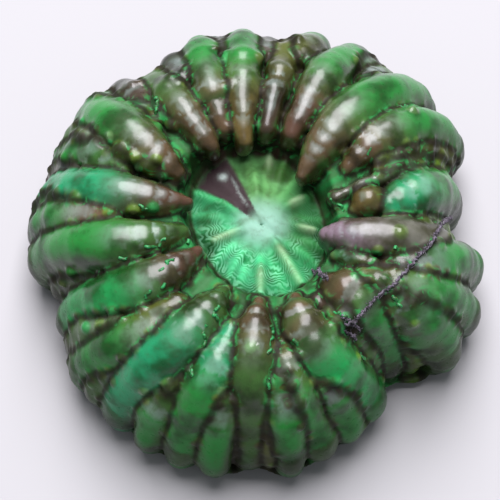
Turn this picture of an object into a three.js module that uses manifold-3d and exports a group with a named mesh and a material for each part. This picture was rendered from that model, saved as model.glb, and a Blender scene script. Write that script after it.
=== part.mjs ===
// A button coral: one large polyp, with fat flesh lobes in a ring round a sunken oral disc, cut off flat at
// its base. Millimetres, +Z up, standing on z = 0. Bearings are in degrees round the mouth, counter-clockwise
// from +X.
import * as THREE from 'three';
import { mergeVertices } from 'three/addons/utils/BufferGeometryUtils.js';
import Module from 'manifold-3d';

// Driving dimensions
const MOUTH = { x: 1.41, y: -1.99 };
const MOUTH_HEIGHT = 26;
const MOUTH_SLIT = { length: 8, width: 1.6, depth: 3, bearing: -40 };
const DISC_RADIUS = 14.3;
const DISC_STRETCH = 1.9;
const DISC_LEAN = 1.4;
const DISC_LONG_BEARING = 110;
const DISC_EDGE_HEIGHT = 22.5;
const RIM_HEIGHT = 12;
const CREST_HEIGHT = 31.5;
const INNER_DIP = 1;
const INNER_DIP_END = 0.4;
const CORE_SINK = 2;
const CORE_INSET = 1.2;
const DOME_POWER = 3;
const DOME_ROUNDING = 0.6;
const CURL_HEIGHT = 4.5;
const CURL_IN = 2.4;
const FULL_WIDTH_SHARE = 0.42;
const OUTER_TAPER = 0.2;
const OUTER_TAPER_FROM = 0.6;
const PLUMPNESS = 1.1;
const LOBE_SIDES = 6;
const LOBE_STEP = 8;
const FEWEST_STEPS = 3;
const CORE_SIDES = 36;
const SLIT_SIDES = 12;
const SLIT_RINGS = 8;
const WELD_DISTANCE = 1e-4;

// The body's profile under the lobes, as pairs of share and height. The share is -1 at the mouth, 0 at the
// disc's edge and 1 at the rim. It runs from the cut base up the outside, and then from the wall round the
// disc to the mouth; the dome between them follows the lobes at the shares in domeShares.
const outside = [[-1, 0], [0.55, 0], [0.86, 1.5], [0.96, RIM_HEIGHT / 2], [0.97, RIM_HEIGHT]];
const domeShares = [0.92, 0.82, 0.68, 0.5, 0.3, 0.15];
const inside = [
  [0.05, DISC_EDGE_HEIGHT + 3], [0, DISC_EDGE_HEIGHT],
  [-0.35, MOUTH_HEIGHT - 1.8], [-0.7, MOUTH_HEIGHT - 0.4], [-1, MOUTH_HEIGHT],
];

// The rim's outline: pairs of bearing and distance from the mouth, with a notch at 315.
const rim = [
  [0, 40], [8, 37.5], [17, 39], [32, 44], [46, 45.5], [65, 46.5], [95, 46], [110, 45.5], [123, 43], [135, 45],
  [150, 44], [165, 43], [181, 42], [192, 38.5], [202, 39.5], [215, 41.5], [235, 42], [250, 42.5], [265, 40.5],
  [277, 42.5], [290, 39.5], [303, 36.5], [313, 32], [320, 33], [330, 40], [343, 41], [355, 40.5], [360, 40],
];

// The lobes in order round the ring. Each runs from its inner end through two or three places, given as
// bearing and distance from the mouth, and is width across. tip is the inner end's share of that width, lift
// raises the lobe, and overRim marks one that runs over the rim and curls under.
const lobes = [
  { places: [[6.5, 20.5], [8, 22]], width: 4.6, tip: 1 },
  { places: [[5, 25], [12, 32.5], [17.5, 38.4]], width: 8.2, tip: 0.6, overRim: true },
  { places: [[358, 28], [4, 36.4]], width: 4.8, overRim: true },
  { places: [[22.5, 25], [25, 40.6]], width: 3.4, overRim: true },
  { places: [[26, 26], [28, 42.8]], width: 3.6, overRim: true },
  { places: [[31, 20], [35, 33.5], [32.5, 44.6]], width: 7.8, tip: 0.3, overRim: true },
  { places: [[41, 26], [40, 44.2]], width: 3.4, lift: -1.5, overRim: true },
  { places: [[46.5, 11.5], [50.5, 26], [45.5, 45.4]], width: 8.6, tip: 0.3, overRim: true },
  { places: [[57, 38], [54.5, 46.2]], width: 4, overRim: true },
  { places: [[62, 40], [59.5, 46.8]], width: 4, overRim: true },
  { places: [[71, 18.5], [68.5, 28], [64.5, 46.6]], width: 7.6, tip: 0.4, overRim: true },
  { places: [[77, 38], [75.5, 46.6]], width: 6.2, overRim: true },
  { places: [[87, 19], [81.5, 45]], width: 5, tip: 0.7, overRim: true },
  { places: [[89, 36], [88, 45]], width: 4.6, overRim: true },
  { places: [[102, 16.5], [98, 26], [94.5, 46.4]], width: 6.4, tip: 0.45, overRim: true },
  { places: [[102, 36], [101, 45.4]], width: 4.8, overRim: true },
  { places: [[111, 20], [110, 29], [105.5, 46.6]], width: 6.8, tip: 0.4, overRim: true },
  { places: [[116.5, 34], [114.5, 44.6]], width: 5.4, overRim: true },
  { places: [[123, 17.5], [124.5, 26], [123, 42.4]], width: 5.8, tip: 0.45, overRim: true },
  { places: [[132.5, 35], [131, 44.6]], width: 5.8, overRim: true },
  { places: [[139, 38], [137, 45.8]], width: 4.8, overRim: true },
  { places: [[151.5, 18.5], [147.5, 28], [141, 44.4]], width: 8.6, tip: 0.3, overRim: true },
  { places: [[153.5, 34], [148.5, 44.4]], width: 6.4, overRim: true },
  { places: [[160, 29], [153.5, 43.8]], width: 6.6, tip: 0.45, overRim: true },
  { places: [[160, 38], [158, 44]], width: 4.4, overRim: true },
  { places: [[170, 14.5], [171.5, 27], [165, 43.2]], width: 7.4, tip: 0.3, overRim: true },
  { places: [[175, 33], [168, 44.4]], width: 4.4, overRim: true },
  { places: [[181.5, 30], [177, 38.5], [173, 44.2]], width: 5.8, overRim: true },
  { places: [[194, 15.5], [192.5, 28.5], [181, 42.4]], width: 8.2, tip: 0.3, overRim: true },
  { places: [[199, 31], [189.5, 39.4]], width: 5.2, lift: -3, overRim: true },
  { places: [[214, 14.8], [212, 29], [200, 38.8]], width: 8, tip: 0.3, overRim: true },
  { places: [[219, 34], [208, 40.2]], width: 6, overRim: true },
  { places: [[230, 25], [224, 35], [215, 41.2]], width: 7.4, tip: 0.5, overRim: true },
  { places: [[227, 38], [221.5, 42]], width: 5.6, lift: -2, overRim: true },
  { places: [[247, 18], [236, 34.5], [229.5, 41.2]], width: 8.6, tip: 0.3, overRim: true },
  { places: [[244, 35.5], [242, 39]], width: 4.8 },
  { places: [[242.5, 39], [240, 43]], width: 6.2, overRim: true },
  { places: [[256.5, 26], [252.5, 36], [249, 42.4]], width: 7.4, tip: 0.45, overRim: true },
  { places: [[259, 37], [258, 43.2]], width: 6, overRim: true },
  { places: [[268.5, 19], [266.5, 32], [267, 40]], width: 7.6, tip: 0.3, overRim: true },
  { places: [[272.5, 36], [272, 42]], width: 3.4, overRim: true },
  { places: [[276, 34], [277.5, 42.6]], width: 6, overRim: true },
  { places: [[279, 27], [281.5, 37], [286, 40.2]], width: 6.8, tip: 0.3, overRim: true },
  { places: [[290, 34], [295, 39]], width: 6.2, overRim: true },
  { places: [[289.5, 19], [294, 31.5], [303.5, 35.6]], width: 9.2, tip: 0.3, overRim: true },
  { places: [[302, 22], [310, 33]], width: 4.8, lift: -2, overRim: true },
  { places: [[308, 24.5], [309, 27.5]], width: 4.8, tip: 0.7 },
  { places: [[312, 20], [318, 29], [319.5, 32]], width: 8.2, tip: 0.45, overRim: true },
  { places: [[326, 31], [324.5, 36.4]], width: 4.8, overRim: true },
  { places: [[326, 28], [329.5, 36], [331.5, 40.2]], width: 8.2, tip: 0.6, overRim: true },
  { places: [[324.5, 24], [333, 33], [343, 41.2]], width: 8, tip: 0.5, overRim: true },
  { places: [[333, 26.5], [346.5, 35], [356.5, 40.4]], width: 8, tip: 0.5, overRim: true },
  { places: [[341, 13.5], [346.5, 23.5], [353.5, 33]], width: 6.2, tip: 0.4 },
];

const wasm = await Module();
wasm.setup();

const radians = THREE.MathUtils.degToRad;

function discRadius(bearing) {
  const turn = radians(bearing - DISC_LONG_BEARING);
  return DISC_RADIUS + DISC_STRETCH * Math.cos(2 * turn) + DISC_LEAN * Math.cos(turn);
}

// Distance from the mouth to the rim, straight from one outline place to the next.
function rimRadius(bearing) {
  const turn = (bearing + 360) % 360;
  const next = rim.findIndex((place) => place[0] > turn);
  const [[first, near], [second, far]] = [rim[next - 1], rim[next]];
  return THREE.MathUtils.mapLinear(turn, first, second, near, far);
}

// Height of a lobe's axis at share q of the way from the disc's edge to the rim.
function crestHeight(q) {
  const share = THREE.MathUtils.clamp(q, 0, 1);
  const dome = (1 - share ** DOME_POWER) ** DOME_ROUNDING;
  const dip = INNER_DIP * Math.max(0, 1 - share / INNER_DIP_END) ** 2;
  return RIM_HEIGHT + (CREST_HEIGHT - RIM_HEIGHT) * dome - dip;
}

function planPoint([bearing, distance]) {
  const angle = radians(bearing);
  return new THREE.Vector3(MOUTH.x + distance * Math.cos(angle), MOUTH.y + distance * Math.sin(angle), 0);
}

function polar(point) {
  const x = point.x - MOUTH.x;
  const y = point.y - MOUTH.y;
  return [THREE.MathUtils.radToDeg(Math.atan2(y, x)), Math.hypot(x, y)];
}

// The lobe's axis: over the dome from its inner end, and on under the rim if it reaches that far.
function lobePath({ places, lift = 0, overRim = false }) {
  const stops = places.map(planPoint);
  const start = stops[0];
  const end = stops[stops.length - 1];
  const outer = places[places.length - 1];
  const chord = end.clone().sub(start);
  const side = new THREE.Vector3(-chord.y, chord.x, 0).normalize();
  const bend = new THREE.Vector3();
  if (stops.length === 3) {
    const first = stops[1].distanceTo(start);
    const middle = first / (first + stops[1].distanceTo(end));
    bend.copy(stops[1]).sub(start).addScaledVector(chord, -middle).divideScalar(middle * (1 - middle));
  }
  const steps = Math.max(FEWEST_STEPS, Math.round(chord.length() / LOBE_STEP));
  const points = [];
  for (let i = 0; i <= steps; i += 1) {
    const t = overRim ? Math.sin((i / steps) * Math.PI / 2) : i / steps;
    const point = start.clone().addScaledVector(chord, t).addScaledVector(bend, t * (1 - t));
    const [bearing, distance] = polar(point);
    const reach = overRim ? outer[1] : rimRadius(bearing);
    const disc = discRadius(bearing);
    point.z = crestHeight((distance - disc) / (reach - disc)) + lift * (1 - t);
    points.push(point);
  }
  if (overRim) {
    const outward = planPoint([outer[0], 1]).sub(planPoint([outer[0], 0]));
    const middle = (RIM_HEIGHT + CURL_HEIGHT) / 2;
    points.push(end.clone().addScaledVector(outward, -CURL_IN / 4).setZ(middle));
    points.push(end.clone().addScaledVector(outward, -CURL_IN).setZ(CURL_HEIGHT));
  }
  return { curve: new THREE.CatmullRomCurve3(points, false, 'centripetal'), side };
}

// The lobe's swelling at share t of its length: narrow at the tip, full for most of the way, and less at the
// outer end.
function swelling(t, tip) {
  const rise = tip + (1 - tip) * THREE.MathUtils.smoothstep(t, 0, FULL_WIDTH_SHARE);
  return PLUMPNESS * rise * (1 - OUTER_TAPER * THREE.MathUtils.smoothstep(t, OUTER_TAPER_FROM, 1));
}

// A closed tube with round ends, bent along the lobe's axis: a lathed capsule whose rings are moved there.
function lobeGeometry(lobe) {
  const { width, tip = 0.8 } = lobe;
  const { curve, side } = lobePath(lobe);
  const length = curve.getLength();
  const rings = Math.max(FEWEST_STEPS, Math.round(length / LOBE_STEP));
  const radiusAt = (t) => (width / 2) * swelling(t, tip);
  const profile = [new THREE.Vector2(0, -radiusAt(0))];
  for (let i = 0; i <= rings; i += 1) {
    profile.push(new THREE.Vector2(radiusAt(i / rings), (i / rings) * length));
  }
  profile.push(new THREE.Vector2(0, length + radiusAt(1)));
  const geometry = new THREE.LatheGeometry(profile, LOBE_SIDES);
  const place = geometry.getAttribute('position');
  const vertex = new THREE.Vector3();
  for (let i = 0; i < place.count; i += 1) {
    vertex.fromBufferAttribute(place, i);
    const t = THREE.MathUtils.clamp(vertex.y / length, 0, 1);
    const tangent = curve.getTangentAt(t);
    const up = new THREE.Vector3().crossVectors(tangent, side).normalize();
    const across = new THREE.Vector3().crossVectors(up, tangent);
    const point = curve.getPointAt(t).addScaledVector(tangent, vertex.y - t * length);
    point.addScaledVector(across, vertex.x).addScaledVector(up, -vertex.z);
    place.setXYZ(i, point.x, point.y, point.z);
  }
  return geometry;
}

// The body under the lobes: disc, inner wall, dome, rim and flat cut base, lathed round the mouth and then
// stretched to the disc's and the rim's own outlines.
function coreGeometry() {
  const dome = domeShares.map((q) => [q, crestHeight(q) - CORE_SINK]);
  const points = [...outside, ...dome, ...inside].map(([q, z]) => new THREE.Vector2(q + 1, z));
  const geometry = new THREE.LatheGeometry(points, CORE_SIDES);
  const place = geometry.getAttribute('position');
  for (let i = 0; i < place.count; i += 1) {
    const bearing = THREE.MathUtils.radToDeg(Math.atan2(-place.getZ(i), place.getX(i)));
    const q = Math.hypot(place.getX(i), place.getZ(i)) - 1;
    const disc = discRadius(bearing);
    const distance = q < 0 ? disc * (1 + q) : disc + q * (rimRadius(bearing) - CORE_INSET - disc);
    const point = planPoint([bearing, distance]);
    place.setXYZ(i, point.x, point.y, place.getY(i));
  }
  return geometry;
}

function solidOf(geometry) {
  const bare = geometry.clone();
  bare.deleteAttribute('normal');
  bare.deleteAttribute('uv');
  const merged = mergeVertices(bare, WELD_DISTANCE);
  const corners = merged.getIndex().array;
  const kept = [];
  for (let i = 0; i < corners.length; i += 3) {
    const [a, b, c] = corners.slice(i, i + 3);
    if (a !== b && b !== c && c !== a) {
      kept.push(a, b, c);
    }
  }
  const mesh = new wasm.Mesh({
    numProp: 3,
    vertProperties: new Float32Array(merged.getAttribute('position').array),
    triVerts: new Uint32Array(kept),
  });
  return new wasm.Manifold(mesh);
}

// The outer skin of a solid: pockets closed in between the lobes and the body count as flesh, so they are
// filled.
function outerSkin(solid) {
  const { vertProperties, triVerts } = solid.getMesh();
  const parent = Array.from({ length: vertProperties.length / 3 }, (_, i) => i);
  const root = (i) => {
    let top = i;
    while (parent[top] !== top) {
      top = parent[top];
    }
    parent[i] = top;
    return top;
  };
  for (let i = 0; i < triVerts.length; i += 3) {
    parent[root(triVerts[i + 1])] = root(triVerts[i]);
    parent[root(triVerts[i + 2])] = root(triVerts[i]);
  }
  const skins = new Map();
  for (let i = 0; i < triVerts.length; i += 3) {
    const key = root(triVerts[i]);
    if (!skins.has(key)) {
      skins.set(key, []);
    }
    skins.get(key).push(...triVerts.slice(i, i + 3));
  }
  const outer = [...skins.values()].reduce((most, skin) => (skin.length > most.length ? skin : most));
  const geometry = new THREE.BufferGeometry();
  geometry.setAttribute('position', new THREE.BufferAttribute(vertProperties, 3));
  geometry.setIndex(outer);
  geometry.computeVertexNormals();
  return geometry;
}

function mouthSlit() {
  const { length, width, depth, bearing } = MOUTH_SLIT;
  const geometry = new THREE.SphereGeometry(1, SLIT_SIDES, SLIT_RINGS);
  geometry.scale(length / 2, width / 2, depth);
  geometry.rotateZ(radians(bearing));
  geometry.translate(MOUTH.x, MOUTH.y, MOUTH_HEIGHT);
  return geometry;
}

function polyp() {
  let solid = solidOf(coreGeometry());
  for (const lobe of lobes) {
    solid = solid.add(solidOf(lobeGeometry(lobe)));
  }
  solid = solid.subtract(solidOf(mouthSlit()));
  const flesh = new THREE.MeshStandardMaterial({ color: 0x3f7a45, roughness: 0.3, metalness: 0 });
  const mesh = new THREE.Mesh(outerSkin(solid), flesh);
  mesh.name = 'polyp';
  return mesh;
}

const coral = new THREE.Group();
coral.add(polyp());

export default coral;
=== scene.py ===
import math

import bpy
import numpy as np
import openvdb
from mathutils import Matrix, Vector
from mathutils.bvhtree import BVHTree
from mathutils.kdtree import KDTree


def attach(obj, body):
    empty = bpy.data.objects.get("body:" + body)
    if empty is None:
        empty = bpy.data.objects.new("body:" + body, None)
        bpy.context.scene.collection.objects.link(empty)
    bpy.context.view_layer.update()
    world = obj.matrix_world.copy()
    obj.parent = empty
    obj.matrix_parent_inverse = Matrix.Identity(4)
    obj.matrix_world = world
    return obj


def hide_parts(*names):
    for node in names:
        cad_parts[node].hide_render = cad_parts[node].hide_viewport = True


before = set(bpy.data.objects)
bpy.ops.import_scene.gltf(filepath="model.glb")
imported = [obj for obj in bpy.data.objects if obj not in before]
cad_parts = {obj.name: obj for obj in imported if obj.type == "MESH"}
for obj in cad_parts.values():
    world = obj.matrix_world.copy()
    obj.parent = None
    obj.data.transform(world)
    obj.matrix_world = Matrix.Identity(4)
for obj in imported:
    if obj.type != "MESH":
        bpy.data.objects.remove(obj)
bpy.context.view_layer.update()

# The camera looks down on the coral from the front, as a diver does who leans over it with a long lens.
# Its aim is a little off the coral's middle, as in the photograph.
CAMERA_ELEVATION = math.radians(65)
CAMERA_DISTANCE = 0.45
CAMERA_AIM = Vector((-0.0008, -0.0026, 0.015))
CAMERA_LENS = 162
CAMERA_SENSOR = 36
CAMERA_NEAREST = 0.01

camera_data = bpy.data.cameras.new("camera")
camera_data.lens = CAMERA_LENS
camera_data.sensor_width = CAMERA_SENSOR
camera_data.clip_start = CAMERA_NEAREST
camera = bpy.data.objects.new("camera", camera_data)
bpy.context.scene.collection.objects.link(camera)
towards_eye = Vector((0, -math.cos(CAMERA_ELEVATION), math.sin(CAMERA_ELEVATION)))
camera.location = CAMERA_AIM + CAMERA_DISTANCE * towards_eye
camera.rotation_euler = (-towards_eye).to_track_quat("-Z", "Y").to_euler()
bpy.context.scene.camera = camera

# The polyp: one animal, a skin of soft flesh over a stony cup that grew with it, swollen with water into fat
# lobes round a sunken mouth disc. It is cut off flat where it stood on the sea floor. Its lengths are in
# millimetres here, and bearings are in degrees round the mouth, counter-clockwise from +X.
MM = 0.001
MOUTH = np.array([1.41, -1.99])
MOUTH_HEIGHT = 26.0
DISC_RADIUS = 14.3
DISC_STRETCH = 1.9
DISC_LEAN = 1.4
DISC_LONG_BEARING = 110.0
DISC_EDGE_HEIGHT = 22.5
RIM_RADIUS = 42.0
RIM_HEIGHT = 12.0
CREST_HEIGHT = 31.5
DOME_CURVE = 3
DOME_FULLNESS = 0.6
INNER_DIP = 1.0
INNER_DIP_END = 0.4

# The rim's outline: pairs of bearing and distance from the mouth, with a notch at 315.
RIM = [
    (0, 40), (8, 37.5), (17, 39), (32, 44), (46, 45.5), (65, 46.5), (95, 46), (110, 45.5), (123, 43),
    (135, 45), (150, 44), (165, 43), (181, 42), (192, 38.5), (202, 39.5), (215, 41.5), (235, 42),
    (250, 42.5), (265, 40.5), (277, 42.5), (290, 39.5), (303, 36.5), (313, 32), (320, 33), (330, 40),
    (343, 41), (355, 40.5),
]


def plan(place):
    """The x and y of a place that is given as bearing and distance."""
    bearing, distance = math.radians(place[0]), place[1]
    return MOUTH + distance * np.array([math.cos(bearing), math.sin(bearing)])


def polar(x, y):
    """The bearings and distances of points from the mouth."""
    dx, dy = x - MOUTH[0], y - MOUTH[1]
    return np.degrees(np.arctan2(dy, dx)), np.hypot(dx, dy)


def smooth(low, high, value):
    """A soft step from 0 at low to 1 at high, where low may be the larger of the two."""
    share = np.clip((value - low) / (high - low), 0, 1)
    return share * share * (3 - 2 * share)


def bell(offset, width):
    """A soft hump, 1 where the offset is nothing and next to nothing at twice the width."""
    return np.exp(-((offset / width) ** 2))


def turn_between(bearing, other):
    """The turn to a bearing from another, from -180 to 180 degrees."""
    return (bearing - other + 540) % 360 - 180


def disc_radius(bearing):
    turn = np.radians(bearing - DISC_LONG_BEARING)
    return DISC_RADIUS + DISC_STRETCH * np.cos(2 * turn) + DISC_LEAN * np.cos(turn)


def rim_radius(bearing):
    return np.interp(bearing % 360, *zip(*RIM), period=360)


def crest_height(way):
    """The height of the lobes' middles at a share of the way from the disc to the rim."""
    share = np.clip(way, 0, 1)
    dome = (1 - share**DOME_CURVE) ** DOME_FULLNESS
    dip = INNER_DIP * np.maximum(0, 1 - share / INNER_DIP_END) ** 2
    return RIM_HEIGHT + (CREST_HEIGHT - RIM_HEIGHT) * dome - dip


# The lobes: folds of the polyp's skin, puffed up like sausages, that run from the disc out over the rim and
# curl in under it. The broad ones narrow to a snout by the disc, and the small ones have waists.
PATH_STEP = 1.6
FULL_WIDTH_SHARE = 0.5
OUTER_TAPER = 0.2
OUTER_TAPER_START = 0.65
PLUMPNESS = 1.2
WAVER = 0.03
WAVER_SPEED = 7
SMALL_LOBE = 7.0
WAIST_PITCH = 5.5
WAIST_DEPTH = 0.07
BEAD_DEPTH = 0.09
BY_THE_DISC = 21
FOOT_DROP = 0.4
FOOT_SHARE = 0.2
REACH_OUT = 0.5
CURL_STEPS = (0.35, 0.7, 1.0)
CURL_HEIGHT = 4.5
CURL_IN = 2.4
CURL_TAPER = 0.2


def srgb(red, green, blue):
    """A colour as the eye reads it, 0 to 255, turned into the linear values that a shader mixes."""
    parts = np.array([red, green, blue]) / 255
    return np.where(parts < 0.04045, parts / 12.92, ((parts + 0.055) / 1.055) ** 2.4)


FLESH = {
    "green": srgb(30, 120, 46),
    "bright": srgb(22, 136, 66),
    "teal": srgb(26, 136, 88),
    "lime": srgb(96, 130, 40),
    "moss": srgb(52, 88, 36),
    "olive": srgb(78, 86, 34),
    "gold": srgb(92, 78, 38),
    "brown": srgb(86, 68, 46),
    "umber": srgb(58, 46, 34),
    "rust": srgb(82, 58, 44),
    # painted highlight, a pinkish sheen on one broad flat lobe
    "painted_mauve_sheen": srgb(124, 106, 118),
    "grey": srgb(100, 100, 90),
    "dark": srgb(44, 52, 38),
    "wall": srgb(52, 104, 58),
    "pale": srgb(116, 160, 104),
    # pale skin and painted glint on small knobs
    "halo": srgb(52, 176, 100),
    "flank": srgb(56, 56, 28),
    # painted highlight, laid as a pale sheen along the lobes' crests
    "painted_sheen": srgb(150, 172, 166),
    "stone": srgb(206, 196, 172),
}
lobes = []
rim_ends = []


def lobe_radius(share, length, width, tip, phase, beads):
    """The radius along a lobe: a narrower tip, a taper over the rim, and waists or beads on the way."""
    rise = np.sin(np.clip(share / FULL_WIDTH_SHARE, 0, 1) * math.pi / 2)
    radius = PLUMPNESS * width / 2 * (tip + (1 - tip) * rise)
    waist = WAVER * np.sin(WAVER_SPEED * share + phase)
    if width < SMALL_LOBE:
        waist = WAIST_DEPTH * np.sin(2 * math.pi * length / WAIST_PITCH * share + phase)
    radius = radius * (1 - OUTER_TAPER * smooth(OUTER_TAPER_START, 1, share)) * (1 + waist)
    if beads:
        radius = radius * (1 - BEAD_DEPTH + BEAD_DEPTH * np.cos(2 * math.pi * beads * share))
    return radius


def lobe(places, width, inner, outer, tip=0.8, lift=0.0, rim=True, beads=0):
    """A lobe through two or three places, each a bearing and a distance, with the colours of its two ends.

    Its inner end has the share tip of its width and is raised by lift. Without rim it ends on the ring's top.
    """
    end = places[-1]
    stops = np.array([plan(place) for place in places[:-1]] + [plan((end[0], end[1] + REACH_OUT * rim))])
    legs = np.hypot(*np.diff(stops, axis=0).T)
    share = np.linspace(0, 1, max(4, round(float(legs.sum()) / PATH_STEP)))
    if rim:
        share = np.sin(share * math.pi / 2)
    flat = stops[0] + (stops[-1] - stops[0]) * share[:, None]
    if len(stops) == 3:
        middle = legs[0] / legs.sum()
        bend = (stops[1] - stops[0] - (stops[2] - stops[0]) * middle) / (middle * (1 - middle))
        flat = flat + bend * (share * (1 - share))[:, None]
    bearing, distance = polar(flat[:, 0], flat[:, 1])
    reach = end[1] if rim else rim_radius(bearing)
    height = crest_height((distance - disc_radius(bearing)) / (reach - disc_radius(bearing)))
    if places[0][1] < BY_THE_DISC:
        height = height - FOOT_DROP * np.maximum(0, 1 - share / FOOT_SHARE) ** 2
    path = np.column_stack([flat, height + lift * (1 - share)])
    radius = lobe_radius(share, legs.sum(), width, tip, end[0], beads)
    if rim:
        outward = (stops[-1] - MOUTH) / np.hypot(*(stops[-1] - MOUTH))
        for k in CURL_STEPS:
            under = stops[-1] - outward * CURL_IN * k**2
            path = np.vstack([path, [under[0], under[1], RIM_HEIGHT + (CURL_HEIGHT - RIM_HEIGHT) * k]])
            radius = np.append(radius, PLUMPNESS * width / 2 * (1 - OUTER_TAPER) * (1 - CURL_TAPER * k))
            share = np.append(share, 1 + k)
        rim_ends.append(end)
    steps = np.hypot(*np.diff(path, axis=0).T[:2]) + np.abs(np.diff(path[:, 2]))
    length = np.concatenate([[0], np.cumsum(steps)])
    lobes.append({
        "path": path, "radius": radius, "share": share, "length": length, "inner": inner, "outer": outer,
    })


lobe([(6.5, 20.5), (8, 22)], 4.6, "gold", "olive", tip=1, rim=False)
lobe([(5, 25), (12, 32.5), (17.5, 38.4)], 8.2, "teal", "green", tip=0.6)
lobe([(358, 28), (4, 36.4)], 4.8, "olive", "lime")
lobe([(13.5, 15), (18, 24.5), (20.5, 37)], 2.6, "grey", "moss", tip=0.7, rim=False, beads=3)
lobe([(22.5, 25), (25, 40.6)], 3.4, "olive", "lime")
lobe([(26, 26), (28, 42.8)], 3.6, "lime", "olive")
lobe([(31, 20), (35, 33.5), (32.5, 44.6)], 7.8, "brown", "green", tip=0.3)
lobe([(41, 26), (40, 44.2)], 3.4, "dark", "moss", lift=-1.5)
lobe([(46.5, 11.5), (50.5, 26), (45.5, 45.4)], 8.6, "brown", "green", tip=0.22)
lobe([(57, 38), (54.5, 46.2)], 4.0, "dark", "moss")
lobe([(62, 40), (59.5, 46.8)], 4.0, "moss", "dark")
lobe([(71, 18.5), (68.5, 28), (64.5, 46.6)], 7.6, "rust", "green", tip=0.4, beads=2)
lobe([(77, 38), (75.5, 46.6)], 6.2, "olive", "green")
lobe([(87, 19), (81.5, 45)], 5.0, "umber", "olive", tip=0.7, beads=4)
lobe([(89, 36), (88, 45)], 4.6, "umber", "dark")
lobe([(102, 16.5), (98, 26), (94.5, 46.4)], 6.4, "gold", "green", tip=0.45)
lobe([(102, 36), (101, 45.4)], 4.8, "umber", "dark")
lobe([(111, 20), (110, 29), (105.5, 46.6)], 6.8, "brown", "green", tip=0.4, beads=3)
lobe([(116.5, 34), (114.5, 44.6)], 5.4, "dark", "dark")
lobe([(123, 17.5), (124.5, 26), (123, 42.4)], 5.8, "brown", "moss", tip=0.45)
lobe([(132, 27), (129, 36)], 1.8, "green", "bright", rim=False)
lobe([(132.5, 35), (131, 44.6)], 5.8, "umber", "dark")
lobe([(136, 31), (136, 35)], 3.0, "olive", "bright", rim=False)
lobe([(139, 38), (137, 45.8)], 4.8, "moss", "green")
lobe([(151.5, 18.5), (147.5, 28), (141, 44.4)], 8.6, "brown", "green", tip=0.3)
lobe([(153.5, 34), (148.5, 44.4)], 6.4, "olive", "moss")
lobe([(154.5, 23.5), (154.5, 24.5)], 3.8, "lime", "lime", tip=1, rim=False)
lobe([(154, 29.5), (154, 32)], 4.8, "lime", "lime", tip=1, rim=False)
lobe([(160, 29), (153.5, 43.8)], 6.6, "moss", "green", tip=0.45)
lobe([(160, 38), (158, 44)], 4.4, "dark", "grey")
lobe([(170, 14.5), (171.5, 27), (165, 43.2)], 7.4, "rust", "teal", tip=0.22)
lobe([(175, 33), (168, 44.4)], 4.4, "lime", "green")
lobe([(181.5, 30), (177, 38.5), (173, 44.2)], 5.8, "brown", "green")
lobe([(194, 15.5), (192.5, 28.5), (181, 42.4)], 8.2, "moss", "green", tip=0.25)
lobe([(199, 31), (189.5, 39.4)], 5.2, "umber", "moss", lift=-3)
lobe([(214, 14.8), (212, 29), (200, 38.8)], 8.0, "rust", "bright", tip=0.25)
lobe([(218.5, 30.5), (206.5, 38.5)], 3.4, "lime", "bright", rim=False)
lobe([(219, 34), (208, 40.2)], 6.0, "olive", "moss")
lobe([(230, 25), (224, 35), (215, 41.2)], 7.4, "olive", "green", tip=0.5)
lobe([(227, 38), (221.5, 42)], 5.6, "dark", "moss", lift=-2)
lobe([(247, 18), (236, 34.5), (229.5, 41.2)], 8.6, "moss", "teal", tip=0.22)
lobe([(249, 31), (245.5, 35)], 3.2, "umber", "olive", tip=0.5, rim=False)
lobe([(244, 35.5), (242, 39)], 4.8, "lime", "green", rim=False)
lobe([(242.5, 39), (240, 43)], 6.2, "moss", "green")
lobe([(256.5, 26), (252.5, 36), (249, 42.4)], 7.4, "teal", "green", tip=0.45)
lobe([(259, 37), (258, 43.2)], 6.0, "moss", "green")
lobe([(263.5, 36), (263.5, 41.4)], 3.2, "dark", "olive")
lobe([(268.5, 19), (266.5, 32), (267, 40)], 7.6, "brown", "moss", tip=0.25)
lobe([(272.5, 36), (272, 42)], 3.4, "dark", "olive")
lobe([(276, 34), (277.5, 42.6)], 6.0, "moss", "green")
lobe([(279, 27), (281.5, 37), (286, 40.2)], 6.8, "olive", "green", tip=0.3)
lobe([(290, 34), (295, 39)], 6.2, "umber", "green")
lobe([(289.5, 19), (294, 31.5), (303.5, 35.6)], 9.2, "brown", "bright", tip=0.22)
lobe([(302, 22), (310, 33)], 4.8, "umber", "moss", lift=-2)
lobe([(301.5, 25), (300.5, 29.5)], 2.6, "lime", "bright", rim=False)
lobe([(308, 24.5), (309, 27.5)], 4.8, "umber", "olive", tip=0.7, rim=False)
lobe([(312, 20), (318, 29), (319.5, 32)], 8.2, "brown", "green", tip=0.45)
lobe([(326, 31), (324.5, 36.4)], 4.8, "lime", "lime")
lobe([(341, 17), (347, 27)], 2.4, "moss", "lime", tip=0.6, rim=False)
lobe([(329, 17), (333, 26)], 2.8, "wall", "olive", tip=0.6, rim=False)
lobe([(326, 28), (329.5, 36), (331.5, 40.2)], 8.2, "moss", "green", tip=0.6)
lobe([(324.5, 24), (333, 33), (343, 41.2)], 8.0, "olive", "green", tip=0.5)
lobe([(333, 26.5), (346.5, 35), (356.5, 40.4)], 8.0, "umber", "green", tip=0.5)
# Painted highlight: the mauve inner half of this broad flat lobe stands in for a pinkish sheen.
lobe([(341, 13.5), (346.5, 23.5), (353.5, 33)], 7.2, "painted_mauve_sheen", "grey", tip=0.4, rim=False)

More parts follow.
